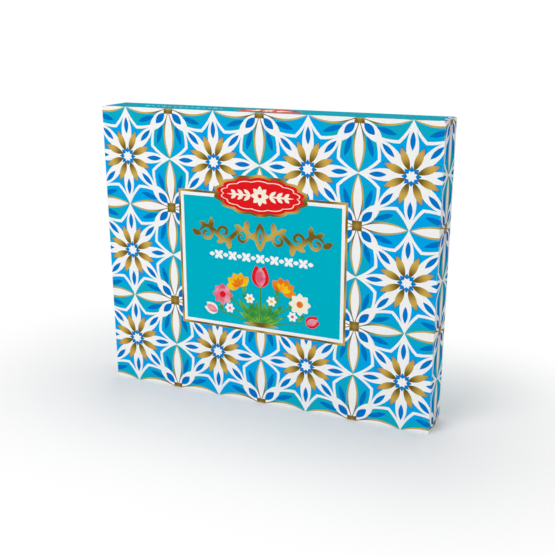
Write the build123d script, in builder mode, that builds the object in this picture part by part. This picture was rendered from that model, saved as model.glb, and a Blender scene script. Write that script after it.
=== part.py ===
"""Hinged-lid folding carton of turkish delight, standing on its long edge. Sizes in millimetres.

+X runs along the width, +Y from the front panel to the back panel, and +Z up.
The origin is the middle of the footprint, on the surface that the carton stands on.

The base is a shallow box: back panel, three side walls and the spine along the top, held by four
glue tabs. The lid is the front panel with three walls that telescope over the base's walls, held
by two glue tabs. One crease, along the top of the front panel, joins lid and spine. Inside the
base lies a thermoformed tray with one cell for each cube, sealed by a clear film.
"""

import os

from build123d import *

# Closed carton
box_width = 250.0  # X
box_depth = 30.0  # Y
box_height = 210.0  # Z

# Boxboard
board = 0.5  # thickness
fold_round = 0.4  # outside rounding of a folded edge
wall_play = 0.5  # free play between the lid's walls and the base's walls
panel_play = 0.5  # free play between the front panel and the edges of the base's walls
crease_play = 0.3  # between the rounded crease and the edge of the spine
lid_wall_short = 0.5  # the lid's walls stop this far short of the back face

# Glue tabs
tab_length = 18.0  # along the wall that the tab is glued to
tab_setback = 1.5  # from the tab's root to each edge of its wall
tab_slant = 3.0  # how much the free end is narrower, on each side

# Thermoformed tray
tray_wall = 0.5
tray_play = 0.5  # free play between the tray and the base's walls and tabs
tray_corner = 4.0
columns = 6
rows = 5
rim_width = 5.25  # flat rim outside the outermost cells
cell_web = 7.5  # flat web between two cells
cell_flare = 2.0  # how much wider the mouth is than the floor, on each side
cell_corner = 4.0
film = 0.2  # thickness of the sealing film
film_inset = 1.0  # from the tray's edge to the film's edge
film_room = 3.5  # from the film to the front panel

# Cubes of turkish delight, each filling its cell but for the play around it
cube_play = 1.5  # from a cube to its cell's wall, at the cell's floor
cube_room = 2.8  # from a cube's face to the front of the tray's rim
cube_round = 3.0
flavours = ["orange", "mint", "rose", "lemon", "pomegranate"]  # one to a row, lowest row first

# Planes of the carton, from the outside in
right = box_width / 2
back = box_depth / 2
front = -back
top = box_height
crease_radius = board / 2
crease_y = front + board / 2
crease_z = top - board / 2
lid_inside_y = front + board
lid_wall_end_y = back - lid_wall_short
lid_inside_x = right - board
lid_inside_z = board

base_outside_x = lid_inside_x - wall_play
base_inside_x = base_outside_x - board
base_outside_z = lid_inside_z + board + wall_play  # clear of the lid's glue tabs
base_inside_z = base_outside_z + board
base_back_y = back - board
base_edge_y = lid_inside_y + panel_play
spine_edge_y = crease_y + crease_radius + crease_play
spine_inside_z = top - board

# Planes of the tray
film_y = lid_inside_y + film_room
tray_front_y = film_y + film
tray_back_y = base_back_y
cell_floor_y = tray_back_y - tray_wall
tray_right = base_inside_x - tray_play
tray_low = base_inside_z + board + tray_play
tray_high = spine_inside_z - board - tray_play
tray_width = 2 * tray_right
tray_height = tray_high - tray_low
tray_middle_z = (tray_high + tray_low) / 2

# Cells, spread evenly between the rims, and the cubes in them
column_pitch = (tray_width - 2 * rim_width + cell_web) / columns
row_pitch = (tray_height - 2 * rim_width + cell_web) / rows
floor_width = column_pitch - cell_web - 2 * cell_flare
floor_height = row_pitch - cell_web - 2 * cell_flare
cell_depth = cell_floor_y - tray_front_y
cube_width = floor_width - 2 * cube_play
cube_height = floor_height - 2 * cube_play
cube_front_y = tray_front_y + cube_room

os.makedirs("parts", exist_ok=True)


def facing_front(y):
    """Plane at y whose sketches have X to the right, Z up, and are extruded towards the front."""
    return Plane.XZ.offset(-y)


def save(piece, name):
    """Label a finished piece and write it as the STEP file of its node."""
    piece.label = name
    export_step(piece, f"parts/{name}.step")
    return piece


def rectangle(low_a, high_a, low_b, high_b):
    """Rectangle between two pairs of limits, in the sketch that is being drawn."""
    with Locations(((low_a + high_a) / 2, (low_b + high_b) / 2)):
        Rectangle(high_a - low_a, high_b - low_b)


def tab_outline(side, root_x, low_y, high_y):
    """Trapezoid of a glue tab, from its root at root_x towards the middle of the carton."""
    free_x = root_x - side * tab_length
    root = [(root_x, low_y), (root_x, high_y)]
    free_end = [(free_x, high_y - tab_slant), (free_x, low_y + tab_slant)]
    Polygon(*root, *free_end, align=None)


def cell_centres():
    """Column, row and centre (x, z) of each cell, from the lowest row up."""
    for row in range(rows):
        for column in range(columns):
            x = (column - (columns - 1) / 2) * column_pitch
            z = tray_middle_z + (row - (rows - 1) / 2) * row_pitch
            yield column, row, x, z


# Lid
with BuildPart() as front_panel:
    with BuildSketch(facing_front(lid_inside_y)):
        rectangle(-right, right, 0, crease_z)
    extrude(amount=board)
    outer_edges = front_panel.faces().sort_by(Axis.Y)[0].edges()
    fillet(outer_edges.filter_by(Axis.Z) + outer_edges.group_by(Axis.Z)[0], radius=fold_round)
    with BuildSketch(Plane.YZ.offset(-right + fold_round)):
        with Locations((crease_y, crease_z)):
            Circle(crease_radius)
    extrude(amount=box_width - 2 * fold_round)
save(front_panel.part, "front_panel")

for side, side_name in ((-1, "left"), (1, "right")):
    with BuildPart() as lid_side_wall:
        with BuildSketch(Plane.XY):
            rectangle(*sorted((side * lid_inside_x, side * right)), lid_inside_y, lid_wall_end_y)
        extrude(amount=top)
        outer_face = lid_side_wall.faces().sort_by(Axis.X)[-1 if side > 0 else 0]
        fillet(outer_face.edges().filter_by(Axis.Y), radius=fold_round)
    save(lid_side_wall.part, f"lid_{side_name}_wall")

    with BuildPart() as lid_tab:
        with BuildSketch(Plane.XY.offset(lid_inside_z)):
            tab_outline(side, side * lid_inside_x, lid_inside_y + tab_setback, lid_wall_end_y - tab_setback)
        extrude(amount=board)
    save(lid_tab.part, f"lid_tab_{side_name}")

with BuildPart() as lid_bottom_wall:
    with BuildSketch(Plane.XY):
        rectangle(-lid_inside_x, lid_inside_x, lid_inside_y, lid_wall_end_y)
    extrude(amount=board)
save(lid_bottom_wall.part, "lid_bottom_wall")

# Base
with BuildPart() as back_panel:
    with BuildSketch(facing_front(back)):
        rectangle(-base_outside_x, base_outside_x, base_outside_z, top)
    extrude(amount=board)
    fillet(back_panel.faces().sort_by(Axis.Y)[-1].edges(), radius=fold_round)
save(back_panel.part, "back_panel")

with BuildPart() as spine_panel:
    with BuildSketch(Plane.XY.offset(spine_inside_z)):
        rectangle(-base_outside_x, base_outside_x, spine_edge_y, base_back_y)
    extrude(amount=board)
    fillet(spine_panel.faces().sort_by(Axis.Z)[-1].edges().filter_by(Axis.Y), radius=fold_round)
save(spine_panel.part, "spine_panel")

with BuildPart() as base_bottom_wall:
    with BuildSketch(Plane.XY.offset(base_outside_z)):
        rectangle(-base_inside_x, base_inside_x, base_edge_y, base_back_y)
    extrude(amount=board)
save(base_bottom_wall.part, "base_bottom_wall")

for side, side_name in ((-1, "left"), (1, "right")):
    with BuildPart() as base_side_wall:
        with BuildSketch(Plane.XY.offset(base_outside_z)):
            rectangle(*sorted((side * base_inside_x, side * base_outside_x)), base_edge_y, base_back_y)
        extrude(amount=spine_inside_z - base_outside_z)
    save(base_side_wall.part, f"base_{side_name}_wall")

    for tab_z, end_name in ((base_inside_z, "bottom"), (spine_inside_z - board, "top")):
        with BuildPart() as base_tab:
            with BuildSketch(Plane.XY.offset(tab_z)):
                tab_outline(side, side * base_inside_x, base_edge_y + tab_setback, base_back_y - tab_setback)
            extrude(amount=board)
        save(base_tab.part, f"base_tab_{end_name}_{side_name}")

# Tray: a flat rim with a skirt, and one tapered cup for each cell
cell_angle = Vector(0, cell_depth).get_angle(Vector(cell_flare, cell_depth))
cup_wall = tray_wall - cell_flare * tray_wall / cell_depth  # at the tray's back
cell_places = [(x, z) for column, row, x, z in cell_centres()]

with BuildPart() as insert_tray:
    with BuildSketch(facing_front(tray_back_y)):
        with Locations((0, tray_middle_z)):
            RectangleRounded(tray_width, tray_height, tray_corner)
            RectangleRounded(
                tray_width - 2 * tray_wall,
                tray_height - 2 * tray_wall,
                tray_corner - tray_wall,
                mode=Mode.SUBTRACT,
            )
    extrude(amount=tray_back_y - tray_front_y)
    with BuildSketch(facing_front(tray_front_y + tray_wall)):
        with Locations((0, tray_middle_z)):
            RectangleRounded(tray_width, tray_height, tray_corner)
    extrude(amount=tray_wall)
    with BuildSketch(facing_front(tray_back_y)):
        with Locations(*cell_places):
            RectangleRounded(floor_width + 2 * cup_wall, floor_height + 2 * cup_wall, cell_corner)
    extrude(amount=tray_back_y - tray_front_y - tray_wall / 2, taper=-cell_angle)
    with BuildSketch(facing_front(cell_floor_y)):
        with Locations(*cell_places):
            RectangleRounded(floor_width, floor_height, cell_corner - tray_wall)
    extrude(amount=cell_depth, taper=-cell_angle, mode=Mode.SUBTRACT)
save(insert_tray.part, "insert_tray")

with BuildPart() as sealing_film:
    with BuildSketch(facing_front(tray_front_y)):
        with Locations((0, tray_middle_z)):
            RectangleRounded(tray_width - 2 * film_inset, tray_height - 2 * film_inset, tray_corner)
    extrude(amount=film)
save(sealing_film.part, "sealing_film")

# Cubes of turkish delight, each on the floor of its own cell
for column, row, x, z in cell_centres():
    with BuildPart() as cube:
        with BuildSketch(facing_front(cell_floor_y)):
            with Locations((x, z)):
                Rectangle(cube_width, cube_height)
        extrude(amount=cell_floor_y - cube_front_y)
        side_edges = cube.edges().filter_by(Axis.Y)
        face_edges = cube.faces().sort_by(Axis.Y)[0].edges()
        fillet(side_edges + face_edges, radius=cube_round)
    flavour = flavours[row % len(flavours)]
    number = column + 1 + row // len(flavours) * columns
    save(cube.part, f"{flavour}_cube_{number}")
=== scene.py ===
"""Looks of the turkish delight carton: printed boxboard, gold tray, clear film and sugared cubes.

The printed board is drawn flat, as the unfolded blank in millimetres (u across, v up the front
panel and on over the spine and the back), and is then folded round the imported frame.
"""
import cmath
import itertools
from math import atan2, cos, hypot, inf, pi, radians, sin

import bmesh
import bpy
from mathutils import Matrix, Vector, geometry, noise


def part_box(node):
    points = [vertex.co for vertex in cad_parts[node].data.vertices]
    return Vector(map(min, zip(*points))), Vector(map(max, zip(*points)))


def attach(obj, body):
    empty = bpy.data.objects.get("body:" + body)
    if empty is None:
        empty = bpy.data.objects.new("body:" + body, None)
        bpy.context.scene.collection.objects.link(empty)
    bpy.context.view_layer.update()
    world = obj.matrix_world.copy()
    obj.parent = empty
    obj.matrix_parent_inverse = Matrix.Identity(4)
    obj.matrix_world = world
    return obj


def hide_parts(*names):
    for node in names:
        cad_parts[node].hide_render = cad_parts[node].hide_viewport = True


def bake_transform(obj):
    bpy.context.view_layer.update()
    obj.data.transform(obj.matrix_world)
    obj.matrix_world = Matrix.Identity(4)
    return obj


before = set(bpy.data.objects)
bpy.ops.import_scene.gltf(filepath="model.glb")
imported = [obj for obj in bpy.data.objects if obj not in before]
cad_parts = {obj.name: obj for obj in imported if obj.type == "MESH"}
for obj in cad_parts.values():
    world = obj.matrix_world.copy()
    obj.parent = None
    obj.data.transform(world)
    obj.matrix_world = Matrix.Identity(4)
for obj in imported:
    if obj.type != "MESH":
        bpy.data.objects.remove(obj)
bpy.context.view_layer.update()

MM = 0.001

# -------- sizes, read from the frame, mm


def node_box(node):
    """Lowest and highest corner of a CAD node, in millimetres."""
    low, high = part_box(node)
    return [c / MM for c in low], [c / MM for c in high]


def middle_and_half(node):
    """Middle of a CAD node and half its sizes, in millimetres."""
    low, high = node_box(node)
    return [(a + b) / 2 for a, b in zip(low, high)], [(b - a) / 2 for a, b in zip(low, high)]


FRONT_LOW, FRONT_HIGH = node_box("front_panel")
BACK_LOW, BACK_HIGH = node_box("back_panel")
LID_WALL_HIGH = node_box("lid_right_wall")[1]
BASE_WALL_LOW = node_box("base_right_wall")[0]
TRAY_LOW, TRAY_HIGH = node_box("insert_tray")

BOARD = FRONT_HIGH[1] - FRONT_LOW[1]  # thickness
LID_HALF = FRONT_HIGH[0]
BASE_HALF = BACK_HIGH[0]
TOP = FRONT_HIGH[2]
FRONT_Y = FRONT_LOW[1]
BACK_Y = BACK_HIGH[1]
BASE_BOTTOM = BACK_LOW[2]
LID_WALL_DEPTH = LID_WALL_HIGH[1] - FRONT_Y
BASE_WALL_DEPTH = BACK_Y - BASE_WALL_LOW[1]

FOLD = 0.6  # outside radius of a fold
FOLD_ARC = FOLD * pi / 2
FOLD_STEPS = 4
CORNER_SLIT = 0.15  # play where two flaps meet at a corner

# -------- helpers for objects, outlines and nodes

HAIR = 0.001  # mm; points this close count as one, and a point this close to a fold is on it
ENCLOSED = 1  # kind of triangulation that keeps only what the outlines enclose


def add_object(name, data):
    """New object in the scene, at the origin."""
    piece = bpy.data.objects.new(name, data)
    bpy.context.scene.collection.objects.link(piece)
    return piece


def triangulated(outlines, lines=()):
    """Points and triangles inside outlines, split along lines.

    Each point comes with the numbers of the given points on it, each triangle with the numbers of
    the outlines round it.
    """
    points, faces, edges = [], [], []
    for outline in outlines:
        faces.append(list(range(len(points), len(points) + len(outline))))
        points += [Vector(point) for point in outline]
    for line in lines:
        edges.append((len(points), len(points) + 1))
        points += [Vector(point) for point in line]
    spots, _, triangles, origins, _, owners = geometry.delaunay_2d_cdt(points, edges, faces, ENCLOSED, HAIR)
    return spots, origins, triangles, owners


def srgb(red, green, blue):
    """Linear colour from 8-bit sRGB."""
    def linear(value):
        value /= 255
        return value / 12.92 if value <= 0.04045 else ((value + 0.055) / 1.055) ** 2.4
    return (linear(red), linear(green), linear(blue), 1.0)


class NodeTree:
    """Small helper for writing the node tree of a material or the world."""

    def __init__(self, owner):
        owner.use_nodes = True
        self.tree = owner.node_tree

    def feed(self, socket, value):
        """Link an input to a socket, or set it to a constant."""
        if isinstance(value, bpy.types.NodeSocket):
            self.tree.links.new(value, socket)
        else:
            socket.default_value = value

    def node(self, kind, inputs=None, **settings):
        """New shader node; inputs holds values or sockets by name or number."""
        node = self.tree.nodes.new("ShaderNode" + kind)
        for key, value in settings.items():
            setattr(node, key, value)
        for key, value in (inputs or {}).items():
            self.feed(node.inputs[key], value)
        return node

    def math(self, operation, *values):
        return self.node("Math", dict(enumerate(values)), operation=operation).outputs[0]

    def vector_math(self, operation, *values):
        return self.node("VectorMath", dict(enumerate(values)), operation=operation).outputs

    def mix(self, factor, first, second):
        """Colour between two colours."""
        return self.node("Mix", {0: factor, 6: first, 7: second}, data_type="RGBA").outputs[2]

    def noise(self, scale, detail=3.0, roughness=0.5, vector=None):
        """Noise over the mesh's own coordinates, unless others are given."""
        spot = vector or self.position()
        values = {"Vector": spot, "Scale": scale, "Detail": detail, "Roughness": roughness}
        return self.node("TexNoise", values).outputs[0]

    def remap(self, value, low, high, to_low=0.0, to_high=1.0, **settings):
        values = {"Value": value, "From Min": low, "From Max": high, "To Min": to_low, "To Max": to_high}
        return self.node("MapRange", values, **settings).outputs[0]

    def position(self):
        """Coordinates of the mesh itself, in metres."""
        return self.node("TexCoord").outputs["Object"]

    def seen_by(self, first, *others):
        """1 for rays of the named kinds, and 0 for all others."""
        kinds = self.node("LightPath").outputs
        seen = kinds[first]
        for kind in others:
            seen = self.math("MAXIMUM", seen, kinds[kind])
        return seen


# -------- camera, from the photograph

CAMERA_PLACE = (0.24142, -0.53019, 0.26950)
CAMERA_TURN = (73.050, 0.076, 23.874)  # degrees about X, Y and Z
CAMERA_LENS = 54.99  # mm, on the default 36 mm sensor


def make_camera():
    data = bpy.data.cameras.new("camera")
    data.lens = CAMERA_LENS
    camera = add_object("camera", data)
    camera.location = CAMERA_PLACE
    camera.rotation_euler = [radians(turn) for turn in CAMERA_TURN]
    bpy.context.scene.camera = camera


# -------- floor, world and lamps

FLOOR_RADIUS = 6.0  # m, as the other lengths of this section
FLOOR_SEGMENTS = 96
FLOOR_GREY = 0.95
SHADOW_REACH = (0.0, 0.17)  # from the carton; between them the floor fades to plain white
LAMP_AIM = (0.0, 0.0, 0.10)
LAMPS = (
    # name, place, diameter, power in watts
    ("key", (-0.55, -1.30, 1.05), 1.1, 12.1),
    ("fill", (1.35, -0.75, 0.75), 1.2, 0.7),
    ("top", (0.10, 0.35, 1.60), 1.2, 6.0),
    ("rim", (-0.40, 1.40, 0.80), 1.0, 3.0),
)
WORLD_STRENGTH = 0.42
WHITE = (1.0, 1.0, 1.0, 1.0)


def make_world():
    """Even pale light; plain white where the camera, a reflection or clear film sees the world."""
    world = bpy.data.worlds.new("studio")
    bpy.context.scene.world = world
    nodes = NodeTree(world)
    nodes.tree.nodes.clear()
    light = nodes.node("Background", {"Color": WHITE, "Strength": WORLD_STRENGTH}).outputs[0]
    backdrop = nodes.node("Background", {"Color": WHITE}).outputs[0]
    seen = nodes.seen_by("Is Camera Ray", "Is Glossy Ray", "Is Transmission Ray")
    shown = nodes.node("MixShader", {0: seen, 1: light, 2: backdrop})
    nodes.node("OutputWorld", {"Surface": shown.outputs[0]})


def floor_material():
    """Pale paper that takes the carton's shadow and fades to plain white away from it."""
    material = bpy.data.materials.new("floor_paper")
    nodes = NodeTree(material)
    nodes.tree.nodes.clear()
    mirrored = nodes.vector_math("ABSOLUTE", nodes.position())[0]
    outside = nodes.vector_math("SUBTRACT", mirrored, (LID_HALF * MM, BACK_Y * MM, 0.0))[0]
    beyond = nodes.vector_math("MAXIMUM", outside, (0.0, 0.0, 0.0))[0]
    distance = nodes.vector_math("LENGTH", beyond)["Value"]
    fade = nodes.remap(distance, *SHADOW_REACH, interpolation_type="SMOOTHSTEP")
    plain = nodes.math("MULTIPLY", fade, nodes.seen_by("Is Camera Ray", "Is Glossy Ray"))
    lit = nodes.node("BsdfDiffuse", {"Color": (FLOOR_GREY, FLOOR_GREY, FLOOR_GREY, 1.0)})
    glow = nodes.node("Emission")
    shown = nodes.node("MixShader", {0: plain, 1: lit.outputs[0], 2: glow.outputs[0]})
    nodes.node("OutputMaterial", {"Surface": shown.outputs[0]})
    return material


def make_floor():
    mesh = bpy.data.meshes.new("floor")
    bm = bmesh.new()
    bmesh.ops.create_circle(bm, cap_ends=True, segments=FLOOR_SEGMENTS, radius=FLOOR_RADIUS)
    bm.to_mesh(mesh)
    bm.free()
    mesh.materials.append(floor_material())
    floor = add_object("floor", mesh)


def make_lamps():
    for name, spot, diameter, power in LAMPS:
        data = bpy.data.lights.new(name, "AREA")
        data.shape = "DISK"
        data.size = diameter
        data.energy = power
        lamp = add_object(name, data)
        lamp.location = spot
        lamp.rotation_euler = (Vector(LAMP_AIM) - Vector(spot)).to_track_quat("-Z", "Y").to_euler()


# -------- outlines of printed motifs, mm

LEAF_FULLNESS = 0.8  # below 1 a leaf is fuller towards its tips


def ray(radius, angle):
    """Point at a radius, angle in degrees clockwise from straight up."""
    turn = radians(angle)
    return (radius * sin(turn), radius * cos(turn))


def bowed(start, end, bow, steps):
    """Points from start to just before end, along a parabola that bows to the left."""
    (x0, z0), (x1, z1) = start, end
    for k in range(steps):
        t = k / steps
        side = 4 * bow * t * (1 - t)
        yield x0 + (x1 - x0) * t - (z1 - z0) * side, z0 + (z1 - z0) * t + (x1 - x0) * side


def star(outer, inner, points=8, turn=0.0, bow=0.0, steps=1):
    """Star with straight or bowed sides."""
    corners = [ray(inner if k % 2 else outer, turn + k * 180 / points) for k in range(2 * points)]
    outline = []
    for corner, following in zip(corners, corners[1:] + corners[:1]):
        outline += bowed(corner, following, bow, steps)
    return outline


def lancet(angle, near, far, half, steps=10):
    """Pointed petal along a ray, widest in the middle."""
    tip, root = ray(far, angle), ray(near, angle)
    bow = half / (far - near)
    return [*bowed(root, tip, bow, steps), *bowed(tip, root, bow, steps)]


def leaf(x, z, angle, length, half, curl=0.0, steps=10):
    """Pointed leaf from (x, z), angle in degrees from +u, bent sideways by curl."""
    cosine, sine = cos(radians(angle)), sin(radians(angle))
    left, right = [], []
    for k in range(steps + 1):
        t = k / steps
        bend = curl * length * t * t
        u = x + (cosine * length * t - sine * bend)
        v = z + (sine * length * t + cosine * bend)
        width = half * sin(pi * t) ** LEAF_FULLNESS if 0 < k < steps else 0.0
        left.append((u - sine * width, v + cosine * width))
        right.append((u + sine * width, v - cosine * width))
    return left + right[-2:0:-1]


def band(line, width, taper=0.5):
    """Ribbon of a width along a line, thinner towards both ends."""
    points = list(line)
    left, right = [], []
    last = len(points) - 1
    for k, (x, z) in enumerate(points):
        before, after = points[max(0, k - 1)], points[min(last, k + 1)]
        dx, dz = after[0] - before[0], after[1] - before[1]
        size = width / 2 * sin(pi * (k + 0.5) / (last + 1)) ** taper / hypot(dx, dz)
        left.append((x - dz * size, z + dx * size))
        right.append((x + dz * size, z - dx * size))
    return left + right[::-1]


def spiral(x, z, outer, inner, start, sweep, steps=24):
    """Line that winds from the outer to the inner radius; angles in degrees from +u."""
    for k in range(steps + 1):
        radius = outer + (inner - outer) * k / steps
        turn = radians(start + sweep * k / steps)
        yield x + radius * cos(turn), z + radius * sin(turn)


def oval(x, z, half_u, half_v, lobes=0, depth=0.0, steps=48):
    """Ellipse, or a cartouche with cusped lobes."""
    points = []
    for k in range(steps):
        turn = 2 * pi * k / steps
        reach = 1 - depth * (1 - abs(sin(lobes * turn / 2))) if lobes else 1.0
        points.append((x + half_u * reach * cos(turn), z + half_v * reach * sin(turn)))
    return points


def oblong(u0, u1, v0, v1):
    return [(u0, v0), (u1, v0), (u1, v1), (u0, v1)]


def nested(half, low, high, insets):
    """Rectangles inside each other; each has an ink and an inset from the outermost edge."""
    for ink, inset in insets:
        yield ink, oblong(-half + inset, half - inset, low + inset, high - inset)


def petals(count, rows):
    """Rings of lancets; each row is an ink, the first angle, near and far ends and half width."""
    for ink, turn, near, far, half in rows:
        for k in range(count):
            yield ink, lancet(360 / count * k + turn, near, far, half)


def cartouche(v, rows):
    """Scalloped ovals inside each other; each row is an ink, half width and half height."""
    for ink, half_u, half_v in rows:
        yield ink, oval(0, v, half_u, half_v, lobes=14, depth=0.08, steps=168)


def daisy(v, near, far, half):
    """Eight cream lancets round (0, v)."""
    for k in range(8):
        yield "cream", [(x, z + v) for x, z in lancet(45 * k, near, far, half)]


def both_sides(ink, outline):
    """The outline and its mirror image."""
    yield ink, outline
    yield ink, [(-x, z) for x, z in outline]


# -------- printed design

BLANK_SPAN = 300.0  # reaches past the blank at both sides and below, and twice it past the top
STAR_PITCH = (70.0, 70.0)  # eight-pointed stars on a grid, crosses between them
STAR_OFFSET = (35.0, 105.0)  # one star's centre
GRID_SPAN = 5  # motifs tried on each side of the first
MOTIF = 1.4  # scale of the motifs; their own sizes are before scaling
MOTIF_REACH = 25.3  # radius
STAR_PETALS = (
    # ink, first angle, near and far ends, half width
    ("white", 0.0, 1.5, 23.6, 2.9),
    ("deep", 0.0, 11.5, 20.0, 1.25),
    ("gold", 22.5, 2.6, 14.0, 1.75),
)
CROSS_PETALS = (
    ("gold", 0.0, 1.0, 24.6, 2.95),
    ("white", 0.0, 2.0, 23.8, 2.1),
    ("white", 45.0, 0.3, 16.0, 3.1),
    ("deep", 45.0, 3.0, 10.4, 1.85),
)
PANEL_HALF = 63.7
PANEL_LOW, PANEL_HIGH = 54.7, 154.7
PANEL_FRAME = (("gold", 0.0), ("white", 1.65), ("teal", 4.0))  # ink, inset
MEDALLION_V = PANEL_HIGH - 0.7  # the medallion's middle
SCROLL_V, SCROLL_RISE = 125.2, 4.6  # middle of the scroll, and how far it waves up and down
SCROLL_START, SCROLL_REACH = 6.0, 42.0  # from the middle, on each side
SCROLL_STEPS, SCROLL_WAVE = 40, 26.6  # steps of the line, and in one wave of it
SCROLL_CURLS = ((6.6, 1), (20.0, -1), (33.0, 1))  # step of the root; 1 for up, -1 for down
SCROLL_LEAVES = (
    # across and out from a curl's root, angle, length, half width, bend
    (-3.6, 3.4, 68, 7.6, 2.3, 0.25),
    (1.0, 4.0, 38, 6.4, 1.8, -0.2),
)
BEAD_V, BEAD_PITCH = 109.6, 5.4
SPRAY_FOOT = 60.8
SPRAY_STEMS = (
    # tip (u, v), outward swing
    (16.0, 89.0, 0.8), (29.5, 80.0, 1.5), (36.0, 66.5, 0.5), (8.5, 79.0, 0.3), (24.0, 70.0, 0.6),
)
SPRAY_LEAVES = (
    # angle, length, half width, bend; all from the foot
    (34, 23, 2.5, 0.2), (58, 22, 2.3, 0.16), (78, 17, 1.9, 0.1), (12, 17, 2.0, 0.2), (46, 13, 2.0, -0.25),
)
SPRAY_SPRIGS = (
    # root (u, v), angle; one leaf each, on a stem
    (11.0, 77.0, 74), (20.5, 76.5, 20), (29.0, 67.0, 60), (14.0, 83.5, 120), (25.0, 78.5, 110),
)
SPINE_BLEED = 1.8  # of the pattern, over the fold onto the spine
SPINE_END_BLEED = 3.0
SPINE_BEADS, SPINE_BEAD_START, SPINE_BEAD_PITCH = 14, -96.0, 4.6
BACK_MARGIN_U, BACK_MARGIN_V = 9.0, 8.0  # from the back's edges to its frame
BACK_FRAME = (("gold", 0.0), ("spine_teal", 0.9), ("aqua", 2.4), ("spine_teal", 2.8))


def star_motif():
    """Eight long white petals over a deep blue star, with gold petals between."""
    yield "white", star(MOTIF_REACH, 17.2, bow=-0.05, steps=4)
    yield "sky", star(23.4, 15.6, bow=-0.06, steps=4)
    yield "deep", star(14.6, 8.0, turn=22.5, bow=0.04, steps=3)
    yield from petals(8, STAR_PETALS)
    yield "deep", star(4.8, 3.2)
    yield "white", star(2.8, 1.9, turn=22.5)


def cross_motif():
    """Gold and white petals in a cross, white and blue ones between them, and small blue leaves."""
    yield from petals(4, CROSS_PETALS)
    for side in (-1, 1):
        for k in range(4):
            yield "deep", leaf(*ray(9.0, 90 * k + side * 26), 90 - 90 * k - side * 17, 10.0, 1.3)
    yield "gold", star(3.6, 2.3, points=4, turn=45)


def scaled(motif, u, v):
    """A motif's outlines at their printed size, round (u, v)."""
    for ink, outline in motif():
        yield ink, [(x * MOTIF + u, z * MOTIF + v) for x, z in outline]


def grid_design(windows):
    """Crosses, then stars over them, wherever they reach into a window (u0, u1, v0, v1).

    A motif that the panel hides is left out.
    """
    reach = MOTIF * MOTIF_REACH
    grid = range(-GRID_SPAN, GRID_SPAN + 1)

    def meets(window, u, v):
        u0, u1, v0, v1 = window
        return u0 - reach < u < u1 + reach and v0 - reach < v < v1 + reach

    for motif, half in ((cross_motif, 0.5), (star_motif, 0.0)):
        for column, row in itertools.product(grid, grid):
            u = STAR_OFFSET[0] + (column - half) * STAR_PITCH[0]
            v = STAR_OFFSET[1] + (row - half) * STAR_PITCH[1]
            hidden = abs(u) + reach < PANEL_HALF and PANEL_LOW + reach < v < PANEL_HIGH - reach
            if not hidden and any(meets(window, u, v) for window in windows):
                yield from scaled(motif, u, v)


def medallion():
    """Red cartouche with a rosette and laurels, on the upper edge of the panel."""
    v = MEDALLION_V
    rings = (("gold", 36.0, 14.6), ("red", 33.4, 12.7), ("cream", 30.4, 10.6), ("red", 29.6, 10.0))
    yield from cartouche(v, rings)
    yield from both_sides("cream", leaf(6.0, v, 0, 19.5, 0.75))
    for k in range(3):
        for lean in (38, -38):
            yield from both_sides("cream", leaf(7.0 + 5.5 * k, v, lean, 6.4 - 0.7 * k, 1.25))
    yield from daisy(v, 0.4, 7.0, 1.75)
    yield "red", oval(0, v, 1.5, 1.5, steps=16)


def flourish():
    """Bold gold scroll across the upper half of the panel."""
    v = SCROLL_V

    def along(step):
        return SCROLL_START + SCROLL_REACH * step / SCROLL_STEPS

    wave = [(along(k), v + SCROLL_RISE * sin(2 * pi * k / SCROLL_WAVE)) for k in range(SCROLL_STEPS + 1)]
    yield from both_sides("gold", band(wave, 3.4))
    for step, up in SCROLL_CURLS:
        x = along(step)
        curl = spiral(x + 1.2, v - 1.2 * up, 5.9, 0.9, 90 * up - 60, 480)
        yield from both_sides("gold", band(curl, 2.3))
        for across, out, angle, length, half, bend in SCROLL_LEAVES:
            sprout = leaf(x + across, v + out * up, angle * up, length, half, curl=bend * up)
            yield from both_sides("gold", sprout)
    yield from both_sides("gold", leaf(46.0, v - 2.4, 14, 8.5, 2.2, curl=0.15))
    yield "gold", leaf(0, v - 10.5, 90, 21, 4.4)
    yield "gold", leaf(-10.5, v, 0, 21, 3.2)
    yield "teal", leaf(0, v - 6.0, 90, 12, 2.0)
    yield "gold", leaf(0, v - 3.0, 90, 6, 0.9)


def bead_line():
    """White line of small flowers and lozenges under the scroll."""
    for k in range(-7, 8):
        u = k * BEAD_PITCH
        if k % 2:
            yield "white", leaf(u - 2.1, BEAD_V, 0, 4.2, 1.5)
        else:
            for turn in (45, 135, 225, 315):
                yield "white", leaf(u, BEAD_V, turn, 4.3, 1.3)


def tulip(u, v, size, lean, outer, inner):
    """Two bowed petals round a straight one, pointing along lean."""
    for side in (-1, 1):
        yield outer, leaf(u, v, lean + side * 27, 10.0 * size, 2.7 * size, curl=-0.27 * side)
    yield inner, leaf(u, v, lean, 9.4 * size, 2.5 * size)


def carnation(u, v, size, lean, outer, inner):
    """Fan of petals with a smaller fan on it."""
    for k in range(5):
        yield outer, leaf(u, v, lean + (k - 2) * 34, 7.8 * size, 2.4 * size)
    for k in range(4):
        yield inner, leaf(u, v, lean + (k - 1.5) * 34, 5.0 * size, 1.1 * size)


def rosette(u, v, size, count, outer, inner):
    """Round flower with a round middle."""
    for k in range(count):
        yield outer, leaf(u, v, k * 360 / count, 6.4 * size, 2.1 * size)
    yield inner, oval(u, v, 1.9 * size, 1.9 * size, steps=16)


def stem(root, tip, swing, steps=18):
    """Line from root to tip that swings outwards."""
    for k in range(steps + 1):
        t = k / steps
        u = root[0] + (tip[0] - root[0]) * t ** 0.8 + swing * sin(pi * t)
        yield u, root[1] + (tip[1] - root[1]) * sin(pi / 2 * t)


def veined(u, v, angle, length, half, curl):
    """Green leaf with a darker vein."""
    yield "leaf_green", leaf(u, v, angle, length, half, curl=curl)
    yield "green", leaf(u, v, angle, length * 0.86, half * 0.2, curl=curl * 0.86)


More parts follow.
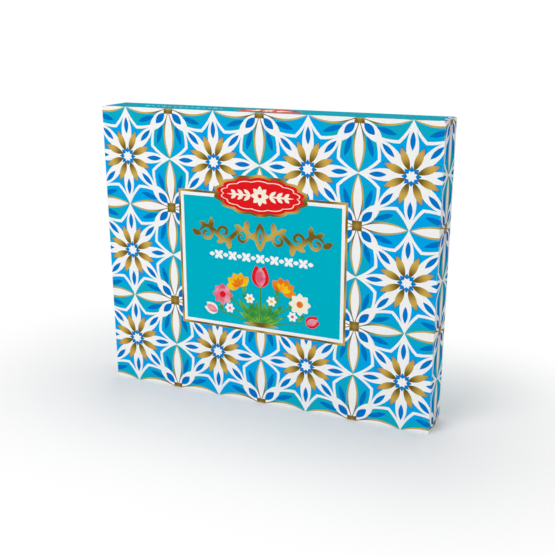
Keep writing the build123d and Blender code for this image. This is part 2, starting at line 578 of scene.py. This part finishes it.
def spray():
    """Symmetrical spray of garden flowers in the lower half of the panel."""
    foot = SPRAY_FOOT
    for u, v, swing in SPRAY_STEMS:
        yield from both_sides("green", band(stem((0.4, foot), (u, v), swing), 1.0, taper=0.3))
    yield "green", band([(0, foot + 3 * k) for k in range(11)], 1.3, taper=0.3)
    greens = [(1.0, foot + 0.8, *row) for row in SPRAY_LEAVES]
    greens += [(*row, 7.0, 1.5, -0.15) for row in SPRAY_SPRIGS]
    for row in greens:
        for ink, outline in veined(*row):
            yield from both_sides(ink, outline)
    for side in (-1, 1):
        yield from rosette(side * 8.5, 79.5, 0.62, 6, "white", "yellow")
        yield from rosette(side * 24.5, 70.3, 0.62, 6, "white", "pink")
    yield from tulip(0, 88.5, 1.6, 90, "red", "pink")
    for side, outer, inner in ((-1, "yellow", "orange"), (1, "orange", "yellow")):
        yield from carnation(side * 16.5, 87.5, 1.35, 90 - side * 26, outer, inner)
    for side, outer, inner in ((-1, "pink", "red"), (1, "cream", "orange")):
        yield from rosette(side * 30.0, 80.0, 1.3, 8, outer, inner)
    for side, outer, inner in ((-1, "cream", "pink"), (1, "red", "pink")):
        yield from tulip(side * 34.5, 66.2, 1.05, 90 - side * 66, outer, inner)
    yield "gold", leaf(-14, foot - 0.3, 0, 28, 1.7)


def panel_design():
    """Framed panel on the front, with its ornaments."""
    yield from nested(PANEL_HALF, PANEL_LOW, PANEL_HIGH, PANEL_FRAME)
    yield from flourish()
    yield from bead_line()
    yield from spray()
    yield from medallion()


def spine_design():
    """Teal band over the spine, with a row of beads, a small cartouche and the pattern at one end."""
    yield "spine_teal", oblong(-BASE_HALF - 1, BASE_HALF - SPINE_END_BLEED, TOP + SPINE_BLEED, SPINE_END)
    middle = TOP + (BACK_Y - FRONT_Y) / 2
    for k in range(SPINE_BEADS):
        u = SPINE_BEAD_START + SPINE_BEAD_PITCH * k
        yield "aqua", oval(u, middle, 1.2, 1.2, steps=12) if k % 3 else leaf(u - 2, middle, 0, 4.2, 1.6)
    yield from cartouche(middle, (("gold", 25.0, 10.2), ("red", 23.2, 8.9)))
    for lean in (0, 36, -36):
        yield from both_sides("cream", leaf(5.6, middle, lean, 13.0 - abs(lean) / 6, 1.5))
    yield from daisy(middle, 0.3, 5.0, 1.25)


def back_design():
    """Plain teal back with a thin frame and one small star."""
    yield "spine_teal", oblong(-BLANK_SPAN, BLANK_SPAN, SPINE_END, BLANK_SPAN * 2)
    low, high = BACK_START + BACK_MARGIN_V, BACK_END + FOLD - BACK_MARGIN_V
    yield from nested(BASE_HALF - BACK_MARGIN_U, low, high, BACK_FRAME)
    yield from scaled(star_motif, 0, (low + high) / 2)


# -------- folding the blank

MIDDLE = 100.0  # height on the front from which the vertical profiles are measured
CREASE_START = TOP - FOLD
SPINE_START = CREASE_START + FOLD_ARC
SPINE_END = SPINE_START + (BACK_Y - FRONT_Y) - 2 * FOLD
BACK_START = SPINE_END + FOLD_ARC
BACK_END = BACK_START + (TOP - FOLD) - (BASE_BOTTOM + FOLD)
LID_FOLD_U = LID_HALF - FOLD
BASE_FOLD_U = BASE_HALF - FOLD
LID_FLAP = FOLD_ARC + LID_WALL_DEPTH - FOLD
BASE_FLAP = FOLD_ARC + BASE_WALL_DEPTH - FOLD
CREASE_STEPS = 4
CREASE_REACH = 0.9  # of the crease strip, beyond the fold's arc


def folded(distance, depth, runs):
    """(along, inwards) of a point at a distance along straight runs joined by quarter folds.

    depth is how far the point lies under the outer face. The walk is in complex numbers: along is
    real and inwards imaginary.
    """
    spot, ahead = 0j, 1 + 0j
    for run in runs + [inf]:
        if distance <= run:
            spot += ahead * complex(distance, depth)
            break
        distance -= run
        centre = spot + ahead * complex(run, FOLD)
        if distance <= FOLD_ARC:
            spot = centre - ahead * 1j * cmath.rect(FOLD - depth, distance / FOLD)
            break
        distance -= FOLD_ARC
        spot = centre + ahead * FOLD
        ahead *= 1j
    return spot.real, spot.imag


def place(u, v, depth):
    """Place of a point of the blank on the folded carton, mm."""
    side = 1 if u > 0 else -1
    if v < TOP and abs(u) > LID_FOLD_U + HAIR:
        along, inward = folded(abs(u), depth, [LID_FOLD_U])
        return side * along, FRONT_Y + inward, v
    if v > BACK_START and abs(u) > BASE_FOLD_U + HAIR:
        along, inward = folded(abs(u), depth, [BASE_FOLD_U])
        return side * along, BACK_Y - inward, TOP - FOLD - (v - BACK_START)
    if v < MIDDLE:
        along, inward = folded(MIDDLE - v, depth, [MIDDLE - FOLD])
        return u, FRONT_Y + inward, MIDDLE - along
    runs = [CREASE_START - MIDDLE, SPINE_END - SPINE_START, BACK_END - BACK_START]
    along, inward = folded(v - MIDDLE, depth, runs)
    return u, FRONT_Y + inward, MIDDLE + along


def dieline():
    """Outline of the whole blank, counter-clockwise."""
    lid_arc_u = LID_FOLD_U + FOLD_ARC
    base_arc_u = BASE_FOLD_U + FOLD_ARC
    slit = CORNER_SLIT
    right = [
        (LID_FOLD_U, FOLD - LID_FLAP),
        (LID_FOLD_U, FOLD),
        (lid_arc_u, slit),
        (LID_FOLD_U + LID_FLAP, slit),
        (LID_FOLD_U + LID_FLAP, TOP - slit),
        (lid_arc_u, TOP - slit),
        (LID_FOLD_U, CREASE_START),
        (BASE_HALF, CREASE_START),
        (BASE_HALF, BACK_START - slit),
        (BASE_FOLD_U, BACK_START),
        (base_arc_u, BACK_START + slit),
        (BASE_FOLD_U + BASE_FLAP, BACK_START + slit),
        (BASE_FOLD_U + BASE_FLAP, BACK_END - slit),
        (base_arc_u, BACK_END - slit),
        (BASE_FOLD_U, BACK_END),
        (BASE_FOLD_U, BACK_END + BASE_FLAP),
    ]
    return right + [(-u, v) for u, v in reversed(right)]


def fold_lines():
    """Lines across the blank that split its faces where the board bends."""
    span = BLANK_SPAN
    strip = [k * CREASE_REACH / CREASE_STEPS for k in range(1, CREASE_STEPS + 1)]
    across = [CREASE_START - step for step in strip] + [SPINE_START + step for step in strip]
    lines = [((-span, v), (span, v)) for v in across + [MIDDLE]]
    for k in range(FOLD_STEPS + 1):
        step = FOLD_ARC * k / FOLD_STEPS
        for v in (FOLD - step, CREASE_START + step, SPINE_END + step, BACK_END + step):
            lines.append(((-span, v), (span, v)))
        for side in (-1, 1):
            lid_u, base_u = side * (LID_FOLD_U + step), side * (BASE_FOLD_U + step)
            lines.append(((lid_u, -span), (lid_u, TOP)))
            lines.append(((base_u, BACK_START), (base_u, span * 2)))
    return lines


def counter_clockwise(outline):
    sides = zip(outline, outline[1:] + outline[:1])
    area = sum(x0 * z1 - x1 * z0 for (x0, z0), (x1, z1) in sides)
    return outline if area > 0 else outline[::-1]


def split_blank():
    """Triangles of the blank, each with the ink of the topmost outline that covers it."""
    reach = LID_FOLD_U + LID_FLAP
    designs = [
        ("dieline", dieline()),
        ("sky", oblong(-BLANK_SPAN, BLANK_SPAN, -BLANK_SPAN, BLANK_SPAN * 2)),
        *grid_design([
            (-reach, reach, 0, TOP + SPINE_BLEED),
            (-LID_FOLD_U, LID_FOLD_U, FOLD - LID_FLAP, 0),
            (BASE_HALF - SPINE_END_BLEED, BASE_HALF, TOP, SPINE_END),
        ]),
        *panel_design(),
        *spine_design(),
        *back_design(),
    ]
    outlines = [counter_clockwise(outline) for ink, outline in designs]
    spots, _, triangles, owners = triangulated(outlines, fold_lines())
    kept = [(tri, designs[max(who)][0]) for tri, who in zip(triangles, owners) if who and min(who) == 0]
    return spots, kept


# -------- materials

BLANK_MAP = "blank"  # the mesh's map of (u, v) on the flat blank


class Shader(NodeTree):
    """Node tree of a new material, with its surface shader."""

    def __init__(self, name):
        self.material = bpy.data.materials.new(name)
        super().__init__(self.material)
        self.surface = self.tree.nodes["Principled BSDF"]

    def set(self, name, value):
        self.feed(self.surface.inputs[name], value)

    def bump(self, height, strength, distance):
        values = {"Height": height, "Strength": strength, "Distance": distance}
        self.set("Normal", self.node("Bump", values).outputs[0])

    def blank_position(self):
        """(u, v) on the flat blank, in metres."""
        blank = self.node("UVMap", uv_map=BLANK_MAP).outputs[0]
        return self.node("SeparateXYZ", {0: blank}).outputs[:2]


INKS = {
    # ink: (colour, second colour or None)
    "white": ((252, 252, 251), None),
    "sky": ((2, 170, 238), (14, 174, 202)),
    "teal": ((0, 182, 204), None),
    "spine_teal": ((10, 168, 190), None),
    "aqua": ((172, 236, 244), None),
    "deep": ((0, 132, 214), (0, 118, 202)),
    "gold": ((206, 170, 80), (114, 94, 34)),
    "red": ((233, 28, 36), None),
    "cream": ((252, 246, 226), None),
    "yellow": ((252, 214, 30), (245, 170, 30)),
    "orange": ((247, 150, 32), (232, 104, 30)),
    "pink": ((246, 170, 186), (226, 92, 120)),
    "green": ((70, 150, 60), None),
    "leaf_green": ((120, 190, 70), (50, 140, 70)),
}
# shading round each star of the grid, in sizes before scaling
GOLD_WAVE = 0.45  # radians per mm, of gold's light and dark rings
SKY_RING = 24.8  # radius at which the sky blue turns most towards teal
SKY_RING_FADE = 0.045  # for each printed mm away from it
DEEP_FADE = (6.4, 20.8)  # between these radii the deep blue darkens

INK_SPECK = 0.94  # brightness of the faint specks in an ink
VARNISH_ROUGHNESS = (0.50, 0.62)
VARNISH_GLOSS = 0.001  # matt lamination
BARE_BOARD, BARE_SHADE = (238, 236, 230), (214, 211, 203)
CUT_BOARD, CUT_SHADE = (236, 234, 228), (206, 202, 194)
FOLD_WEAR_AND_HIGHLIGHT = 0.30  # how far the print on a fold's ridge fades to the bare board: partly crease wear, partly a painted highlight
FOLD_WEAR_AND_HIGHLIGHT_REACH = 0.55  # mm, on each side of the ridge


def star_reach(shader):
    """Distance from the nearest star's centre on the blank, in millimetres."""
    squares = []
    for spot, offset, pitch in zip(shader.blank_position(), STAR_OFFSET, STAR_PITCH):
        steps = shader.math("DIVIDE", shader.math("SUBTRACT", spot, offset * MM), pitch * MM)
        near = shader.math("SUBTRACT", steps, shader.math("ROUND", steps))
        squares.append(shader.math("POWER", shader.math("MULTIPLY", near, pitch), 2.0))
    return shader.math("SQRT", shader.math("ADD", *squares))


def ink_shade(shader, ink):
    """How far an ink has gone towards its second colour, 0 to 1."""
    reach = star_reach(shader)
    if ink == "gold":
        wave = shader.math("SINE", shader.math("MULTIPLY", reach, GOLD_WAVE / MOTIF))
        return shader.remap(wave, -1.0, 0.8)
    if ink == "sky":
        cloud = shader.noise(scale=34.0, detail=1.0, roughness=0.4)
        ring = shader.math("ABSOLUTE", shader.math("SUBTRACT", reach, SKY_RING * MOTIF))
        far = shader.math("MULTIPLY", ring, SKY_RING_FADE)
        shade = shader.math("SUBTRACT", shader.math("MULTIPLY", cloud, 1.7), far)
        return shader.remap(shade, 0.38, 0.72)
    if ink == "deep":
        return shader.remap(reach, *(radius * MOTIF for radius in DEEP_FADE))
    return shader.remap(shader.noise(scale=160.0, detail=2.0), 0.35, 0.65)


def fold_wear_and_highlight(shader):
    """How far the print pales, patchy, and only along the ridges of the folds: partly crease wear, partly a
    painted highlight on the ridge.
    """
    across, up = shader.blank_position()
    half_arc = FOLD_ARC / 2
    on_base = shader.math("GREATER_THAN", up, BACK_START * MM)
    narrower = shader.math("MULTIPLY", on_base, (LID_FOLD_U - BASE_FOLD_U) * MM)
    side_ridge = shader.math("SUBTRACT", (LID_FOLD_U + half_arc) * MM, narrower)
    aside = shader.math("SUBTRACT", shader.math("ABSOLUTE", across), side_ridge)
    nearest = shader.math("ABSOLUTE", aside)
    for ridge in (FOLD - half_arc, CREASE_START + half_arc, SPINE_END + half_arc, BACK_END + half_arc):
        gap = shader.math("ABSOLUTE", shader.math("SUBTRACT", up, ridge * MM))
        nearest = shader.math("MINIMUM", nearest, gap)
    # paler towards each ridge: crease wear plus a painted highlight
    worn_and_lit = shader.remap(nearest, 0.0, FOLD_WEAR_AND_HIGHLIGHT_REACH * MM, FOLD_WEAR_AND_HIGHLIGHT, 0.0)
    patch = shader.noise(scale=700.0, detail=4.0, roughness=0.6)
    return shader.math("MULTIPLY", worn_and_lit, shader.remap(patch, 0.40, 0.60))


def ink_material(ink):
    """One printed ink under matt varnish: the board's fibre, faint specks, and folds paled by wear and by a
    painted highlight.
    """
    colour, second = INKS[ink]
    shader = Shader(f"ink_{ink}")
    fine = shader.noise(scale=2600.0, detail=4.0, roughness=0.6)
    coarse = shader.math("MULTIPLY", shader.noise(scale=90.0), 4.0)
    shader.bump(shader.math("ADD", fine, coarse), strength=0.35, distance=0.00003)
    shader.set("Roughness", shader.remap(fine, 0.3, 0.7, *VARNISH_ROUGHNESS))
    shader.set("Specular IOR Level", VARNISH_GLOSS)
    speck = shader.remap(shader.noise(scale=1400.0, detail=2.0), 0.3, 0.7)
    first = srgb(*colour)
    duller = tuple(c * INK_SPECK for c in first[:3]) + (1.0,)
    tone = shader.mix(speck, first, duller)
    if second:
        tone = shader.mix(ink_shade(shader, ink), tone, srgb(*second))
    # fold ridges fade towards the bare board: crease wear and a painted highlight
    shader.set("Base Color", shader.mix(fold_wear_and_highlight(shader), tone, srgb(*BARE_BOARD)))
    if ink == "gold":
        shader.set("Metallic", 0.25)
    return shader.material


def bare_board_material(name, colour, shade):
    """Uncoated inside or cut edge of the board: fibres and faint blotches."""
    shader = Shader(name)
    stretch = {"Vector": shader.position(), "Scale": (1.0, 1.0, 0.25)}
    upright = shader.node("Mapping", stretch).outputs[0]
    fibre = shader.noise(scale=900.0, detail=5.0, roughness=0.65, vector=upright)
    blotch = shader.noise(scale=60.0)
    tone = shader.mix(shader.remap(fibre, 0.3, 0.75), srgb(*colour), srgb(*shade))
    shader.set("Base Color", shader.mix(shader.remap(blotch, 0.2, 1.1), tone, srgb(*shade)))
    shader.set("Roughness", shader.remap(fibre, 0.3, 0.7, 0.78, 0.92))
    shader.set("Specular IOR Level", 0.25)
    shader.bump(fibre, strength=0.6, distance=0.00008)
    return shader.material


def tray_material():
    """Thin gold-coloured thermoformed sheet."""
    shader = Shader("gold_sheet")
    pull = shader.noise(scale=55.0, roughness=0.55)
    fine = shader.noise(scale=900.0)
    tone = shader.mix(shader.remap(pull, 0.3, 0.7), srgb(236, 192, 100), srgb(206, 156, 66))
    shader.set("Base Color", tone)
    shader.set("Metallic", 0.7)
    shader.set("Roughness", shader.remap(fine, 0.3, 0.7, 0.20, 0.30))
    shader.bump(pull, strength=0.35, distance=0.0008)
    return shader.material


def film_material():
    """Clear sealing film: almost see-through, with a sheen."""
    shader = Shader("clear_film")
    wrinkle = shader.noise(scale=70.0)
    shader.set("Base Color", shader.mix(wrinkle, srgb(244, 244, 244), srgb(214, 216, 218)))
    shader.set("Roughness", shader.remap(wrinkle, 0.3, 0.7, 0.06, 0.16))
    shader.set("Alpha", 0.05)
    shader.set("Specular IOR Level", 1.0)
    shader.bump(wrinkle, strength=0.5, distance=0.0004)
    return shader.material


FLAVOURS = {
    # flavour: (jelly, deeper jelly)
    "orange": ((255, 160, 30), (236, 116, 10)),
    "mint": ((146, 206, 84), (84, 164, 50)),
    "rose": ((248, 160, 182), (226, 92, 132)),
    "lemon": ((255, 228, 60), (242, 190, 16)),
    "pomegranate": ((222, 36, 66), (156, 10, 34)),
}
ICING_SUGAR = (250, 247, 242)


def cube_material(flavour):
    """Starch jelly that shows through an uneven dusting of icing sugar."""
    light, deep = FLAVOURS[flavour]
    shader = Shader(f"{flavour}_jelly")
    patch = shader.noise(scale=210.0, detail=6.0, roughness=0.68)
    grain = shader.noise(scale=2600.0, roughness=0.7)
    depth = shader.remap(shader.noise(scale=60.0, detail=2.0), 0.3, 0.7)
    body = shader.mix(depth, srgb(*light), srgb(*deep))
    cover = shader.math("ADD", shader.math("MULTIPLY", patch, 0.8), shader.math("MULTIPLY", grain, 0.45))
    dust = shader.remap(cover, 0.52, 0.80, 0.04, 0.80)
    shader.set("Base Color", shader.mix(dust, body, srgb(*ICING_SUGAR)))
    shader.set("Roughness", shader.remap(dust, 0.0, 1.0, 0.45, 0.95))
    shader.set("Subsurface Weight", 0.15)
    shader.set("Subsurface Radius", (0.002, 0.0015, 0.001))
    shader.set("Subsurface Scale", 0.5)
    shader.bump(cover, strength=0.7, distance=0.0006)
    return shader.material


# -------- printed board


def rim_edges(faces):
    """Directed edges that only one face has."""
    edges = {edge for corners in faces for edge in zip(corners, corners[1:] + corners[:1])}
    return sorted(edge for edge in edges if edge[::-1] not in edges)


def plain_faces(spots, rim):
    """Numbered points and triangles inside a rim, split only at the fold lines.

    A point comes with its number in spots, or None where fold lines cross.
    """
    after = dict(rim)
    loop = [rim[0][0]]
    while after[loop[-1]] != loop[0]:
        loop.append(after[loop[-1]])
    found, origins, triangles, owners = triangulated([[spots[k] for k in loop]], fold_lines())
    inside = [tri for tri, who in zip(triangles, owners) if who]
    points = {}
    for k in sorted({k for tri in inside for k in tri}):
        known = [loop[n] for n in origins[k] if n < len(loop)]
        points[k] = (found[k], known[0] if known else None)
    return points, inside


def board_mesh(name, spots, share, materials):
    """Closed sheet of board: the printed outer face, the bare inner face and the cut edges."""
    order = list(materials)
    flat, outer = [], {}
    corners, slots = [], []
    for tri, ink in share:
        for k in tri:
            if k not in outer:
                outer[k] = len(flat)
                flat.append((spots[k], 0.0))
        corners.append([outer[k] for k in tri])
        slots.append(order.index(ink))
    rim = rim_edges([tri for tri, ink in share])
    plain_points, plain_triangles = plain_faces(spots, rim)
    inner, numbers = {}, {}
    for k, (point, known) in plain_points.items():
        numbers[k] = len(flat)
        if known is not None:
            inner[known] = len(flat)
        flat.append((point, BOARD))
    for tri in plain_triangles:
        corners.append([numbers[k] for k in reversed(tri)])
        slots.append(order.index("inside"))
    for a, b in rim:
        corners.append([outer[b], outer[a], inner[a], inner[b]])
        slots.append(order.index("edge"))
    mesh = bpy.data.meshes.new(name)
    mesh.from_pydata([[c * MM for c in place(p.x, p.y, depth)] for p, depth in flat], [], corners)
    mesh.polygons.foreach_set("material_index", slots)
    for key in order:
        mesh.materials.append(materials[key])
    blank = mesh.uv_layers.new(name=BLANK_MAP)
    blank.data.foreach_set("uv", [c * MM for face in corners for k in face for c in flat[k][0]])
    mesh.update()
    return add_object(name, mesh)


def make_board():
    """Printed blank in three pieces: lid, base and the crease strip between them."""
    spots, faces = split_blank()
    inside = bare_board_material("board_inside", BARE_BOARD, BARE_SHADE)
    edge = bare_board_material("board_edge", CUT_BOARD, CUT_SHADE)
    inks = {ink: ink_material(ink) for ink in INKS}
    crease_low, crease_high = CREASE_START - CREASE_REACH, SPINE_START + CREASE_REACH
    shares = {"lid_board": [], "crease_strip": [], "base_board": []}
    for tri, ink in faces:
        middle = sum(spots[k].y for k in tri) / 3
        side = max(abs(spots[k].x) for k in tri)
        on_lid = middle < crease_low or (middle < TOP and side > LID_FOLD_U + HAIR)
        name = "lid_board" if on_lid else "crease_strip" if middle < crease_high else "base_board"
        shares[name].append((tri, ink))
    pieces = {}
    for name, share in shares.items():
        shown = {ink: inks[ink] for ink in INKS if any(ink == used for tri, used in share)}
        pieces[name] = board_mesh(name, spots, share, {**shown, "inside": inside, "edge": edge})
    lid, crease, base = pieces["lid_board"], pieces["crease_strip"], pieces["base_board"]
    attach(lid, "lid")
    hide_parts("front_panel", "lid_left_wall", "lid_right_wall", "lid_bottom_wall")
    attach(base, "base")
    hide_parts("spine_panel", "back_panel", "base_left_wall", "base_right_wall", "base_bottom_wall")
    start = place(0, crease_low, BOARD / 2)
    end = place(0, crease_high, BOARD / 2)
    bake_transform(crease)
    for node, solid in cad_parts.items():
        if "_tab_" in node:
            solid.data.materials.clear()
            solid.data.materials.append(inside)


# -------- tray, film and cubes

TRAY_WALL = 0.5
TRAY_CORNER = 4.0  # rounding of the rim's corners
TRAY_EDGE = 1.0  # rounding where the rim turns down into the skirt
CELL_FLARE = 2.0  # how much wider the mouth is than the floor, on each side
CELL_CORNER = 3.5
CELL_PLAY = 1.5  # round a cube, at its cell's floor
LIP = 1.0  # rounding at the mouth of a cell
LIP_SHIFT = 0.06  # brings the lip's arc onto the sloping wall
FLOOR_ROUND = 2.4  # rounding at the floor of a cell
FLOOR_SHIFT = 0.2  # brings the floor's arc onto the sloping wall
ARC_STEPS = 4
CORNER_STEPS = 6


def rounded_rectangle(x, z, half_x, half_z, radius):
    """Counter-clockwise loop of a fixed number of points."""
    loop = []
    for quarter, (sx, sz) in enumerate(((1, 1), (-1, 1), (-1, -1), (1, -1))):
        for k in range(CORNER_STEPS + 1):
            turn = radians(90 * (quarter + k / CORNER_STEPS))
            loop.append((x + sx * (half_x - radius) + radius * cos(turn),
                         z + sz * (half_z - radius) + radius * sin(turn)))
    return loop


def cell_rings():
    """(growth beyond the floor's half sizes, y, corner radius) from the web down to the floor."""
    front, floor = TRAY_LOW[1], TRAY_HIGH[1] - TRAY_WALL
    upright = pi / 2 - atan2(CELL_FLARE, floor - front)
    rings = []
    for k in range(ARC_STEPS + 1):
        turn = upright * k / ARC_STEPS
        grow = CELL_FLARE + LIP * (1 - sin(turn)) - LIP_SHIFT
        rings.append((grow, front + LIP * (1 - cos(turn))))
    for k in range(ARC_STEPS + 1):
        turn = upright * (1 - k / ARC_STEPS)
        grow = FLOOR_SHIFT - FLOOR_ROUND * (1 - sin(turn))
        rings.append((grow, floor - FLOOR_ROUND * (1 - cos(turn))))
    return [(grow, y, max(CELL_CORNER + grow, 1.0)) for grow, y in rings]


def make_tray(cells):
    """Formed sheet: web with rounded cells, and a skirt round the edge."""
    middle, half = middle_and_half("insert_tray")
    bm = bmesh.new()

    def ring(loop, y):
        return [bm.verts.new((x * MM, y * MM, z * MM)) for x, z in loop]

    def skin(first, second):
        for k in range(len(first)):
            after = (k + 1) % len(first)
            bm.faces.new((first[k], first[after], second[after], second[k]))

    outer = []
    turns = [pi / 2 * k / ARC_STEPS for k in range(ARC_STEPS + 1)]
    edge = [(TRAY_EDGE * (1 - sin(turn)), TRAY_LOW[1] + TRAY_EDGE * (1 - cos(turn))) for turn in turns]
    for inset, y in edge + [(0.0, TRAY_HIGH[1])]:
        sizes = half[0] - inset, half[2] - inset, TRAY_CORNER - inset
        outer.append(ring(rounded_rectangle(middle[0], middle[2], *sizes), y))
    for first, second in zip(outer, outer[1:]):
        skin(second, first)
    web_loops = [outer[0]]
    for x, z, floor_x, floor_z in cells:
        rings = []
        for grow, y, radius in cell_rings():
            rings.append(ring(rounded_rectangle(x, z, floor_x + grow, floor_z + grow, radius), y))
        for first, second in zip(rings, rings[1:]):
            skin(first, second)
        bm.faces.new(rings[-1])
        web_loops.append(rings[0])
    verts = [vert for web_loop in web_loops for vert in web_loop]
    outlines = [[(vert.co.x / MM, vert.co.z / MM) for vert in web_loop] for web_loop in web_loops]
    _, origins, triangles, owners = triangulated(outlines)
    for triangle, who in zip(triangles, owners):
        if list(who) == [0]:
            bm.faces.new([verts[origins[k][0]] for k in triangle])
    bmesh.ops.recalc_face_normals(bm, faces=bm.faces)
    bm.faces.ensure_lookup_table()
    web = min(bm.faces, key=lambda face: face.calc_center_median().y)
    if web.normal.y > 0:
        bmesh.ops.reverse_faces(bm, faces=bm.faces)
    mesh = bpy.data.meshes.new("tray")
    bm.to_mesh(mesh)
    bm.free()
    mesh.shade_smooth()
    mesh.materials.append(tray_material())
    tray = add_object("tray", mesh)
    wall = tray.modifiers.new("wall", "SOLIDIFY")
    wall.thickness = TRAY_WALL * MM
    wall.offset = -1.0
    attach(tray, "base")
    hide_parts("insert_tray")


FILM_STEPS = (72, 60)  # across and up
FILM_SAG = 0.9
FILM_DOME = 0.7  # below 1 the sag is flatter in the middle of a cell
FILM_RIPPLE = 0.25
RIPPLE_SCALE = 0.16  # per mm
RIPPLE_RISE = 3.0  # how quickly the ripple comes in with the sag
FILM_CLEARANCE = 0.05  # keeps the film's back off the tray's rim


def film_sag(x, z, cells):
    """How far the film is drawn down at (x, z)."""
    sag = 0.0
    for middle_x, middle_z, half_x, half_z in cells:
        across = abs(x - middle_x) / (half_x + CELL_FLARE)
        along = abs(z - middle_z) / (half_z + CELL_FLARE)
        if across < 1 and along < 1:
            sag = FILM_SAG * ((1 - across ** 2) * (1 - along ** 2)) ** FILM_DOME
            ripple = FILM_RIPPLE * noise.noise(Vector((x * RIPPLE_SCALE, 0.0, z * RIPPLE_SCALE)))
            sag += ripple * min(1.0, sag * RIPPLE_RISE)
    return max(0.0, sag)


def make_film(cells):
    """Sealing film, drawn down a little over each cell."""
    low, high = node_box("sealing_film")
    columns, rows = FILM_STEPS
    thick = high[1] - low[1] - FILM_CLEARANCE
    points, front = [], []
    for side in (0, 1):
        for j in range(rows + 1):
            z = low[2] + (high[2] - low[2]) * j / rows
            for i in range(columns + 1):
                x = low[0] + (high[0] - low[0]) * i / columns
                points.append((x, low[1] + film_sag(x, z, cells) + side * thick, z))
    stride = columns + 1
    count = stride * (rows + 1)
    for j in range(rows):
        for i in range(columns):
            a = j * stride + i
            front.append((a, a + 1, a + 1 + stride, a + stride))
    back = [(a + count, d + count, c + count, b + count) for a, b, c, d in front]
    sides = [(b, a, a + count, b + count) for a, b in rim_edges(front)]
    mesh = bpy.data.meshes.new("film")
    mesh.from_pydata([[c * MM for c in point] for point in points], [], front + back + sides)
    mesh.shade_smooth()
    mesh.materials.append(film_material())
    film = add_object("film", mesh)
    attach(film, "base")
    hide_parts("sealing_film")


CUBE_STEPS = 12
CUBE_ROUND = 3.4  # rounding of the edges
CUBE_DENT = 0.55  # deepest of the broad dents
DENT_SCALE = 0.10  # of the broad dents, per mm
PIT_SHARE, PIT_SCALE = 0.25, 5  # the small pits' depth and fineness, against the dents
CUBE_SLUMP = 0.35  # in the middle of the front and back faces
FACE_START = 0.9  # an outward direction this close to an axis belongs to a face
CUBE_TURN = 2.4  # degrees, the most that a cube lies askew
TURN_SEED = (3.7, 1.3)
DENT_SEED = (7.1, 2.3)


def make_cube(node, number, jellies):
    """Soft cut cube with slumped faces, set a little askew in its cell."""
    flavour = node.split("_")[0]
    middle, half = middle_and_half(node)
    bm = bmesh.new()
    bmesh.ops.create_cube(bm, size=2.0)
    bmesh.ops.subdivide_edges(bm, edges=bm.edges, cuts=CUBE_STEPS - 1, use_grid_fill=True)
    turn = radians(CUBE_TURN * noise.noise(Vector((number * TURN_SEED[0], TURN_SEED[1], 0.0))))
    cosine, sine = cos(turn), sin(turn)
    for vert in bm.verts:
        spot = [c * h for c, h in zip(vert.co, half)]
        core = [max(-(h - CUBE_ROUND), min(h - CUBE_ROUND, c)) for c, h in zip(spot, half)]
        out = Vector([c - k for c, k in zip(spot, core)]).normalized()
        seed = Vector(spot) * DENT_SCALE + Vector((number * DENT_SEED[0], number * DENT_SEED[1], 0.0))
        dent = CUBE_DENT * (0.5 + 0.5 * noise.noise(seed))
        dent += PIT_SHARE * CUBE_DENT * (0.5 + 0.5 * noise.noise(seed * PIT_SCALE))
        on_face = max(0.0, max(abs(c) for c in out) - FACE_START) / (1 - FACE_START)
        dent += CUBE_SLUMP * on_face * (1 - (spot[0] / half[0]) ** 2) * (1 - (spot[2] / half[2]) ** 2)
        x, y, z = [k + o * (CUBE_ROUND - dent) for k, o in zip(core, out)]
        x, z = x * cosine - z * sine, x * sine + z * cosine
        x, z = (max(-h, min(h, c)) for c, h in ((x, half[0]), (z, half[2])))
        vert.co = [(c + m) * MM for c, m in zip((x, y, z), middle)]
    name = node.replace("_cube_", "_sugared_")
    mesh = bpy.data.meshes.new(name)
    bm.to_mesh(mesh)
    bm.free()
    mesh.shade_smooth()
    mesh.materials.append(jellies[flavour])
    cube = add_object(name, mesh)
    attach(cube, "base")
    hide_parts(node)


def make_contents():
    """Cubes, the tray with a cell round each of them, and the film over it."""
    jellies = {flavour: cube_material(flavour) for flavour in FLAVOURS}
    cells = []  # middle x and z of each cell, and half its floor's width and height
    for number, node in enumerate(sorted(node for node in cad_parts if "_cube_" in node)):
        middle, half = middle_and_half(node)
        cells.append((middle[0], middle[2], half[0] + CELL_PLAY, half[2] + CELL_PLAY))
        make_cube(node, number, jellies)
    make_tray(cells)
    make_film(cells)


make_camera()
make_world()
make_floor()
make_lamps()
make_board()
make_contents()
bpy.context.scene.view_settings.view_transform = "Standard"
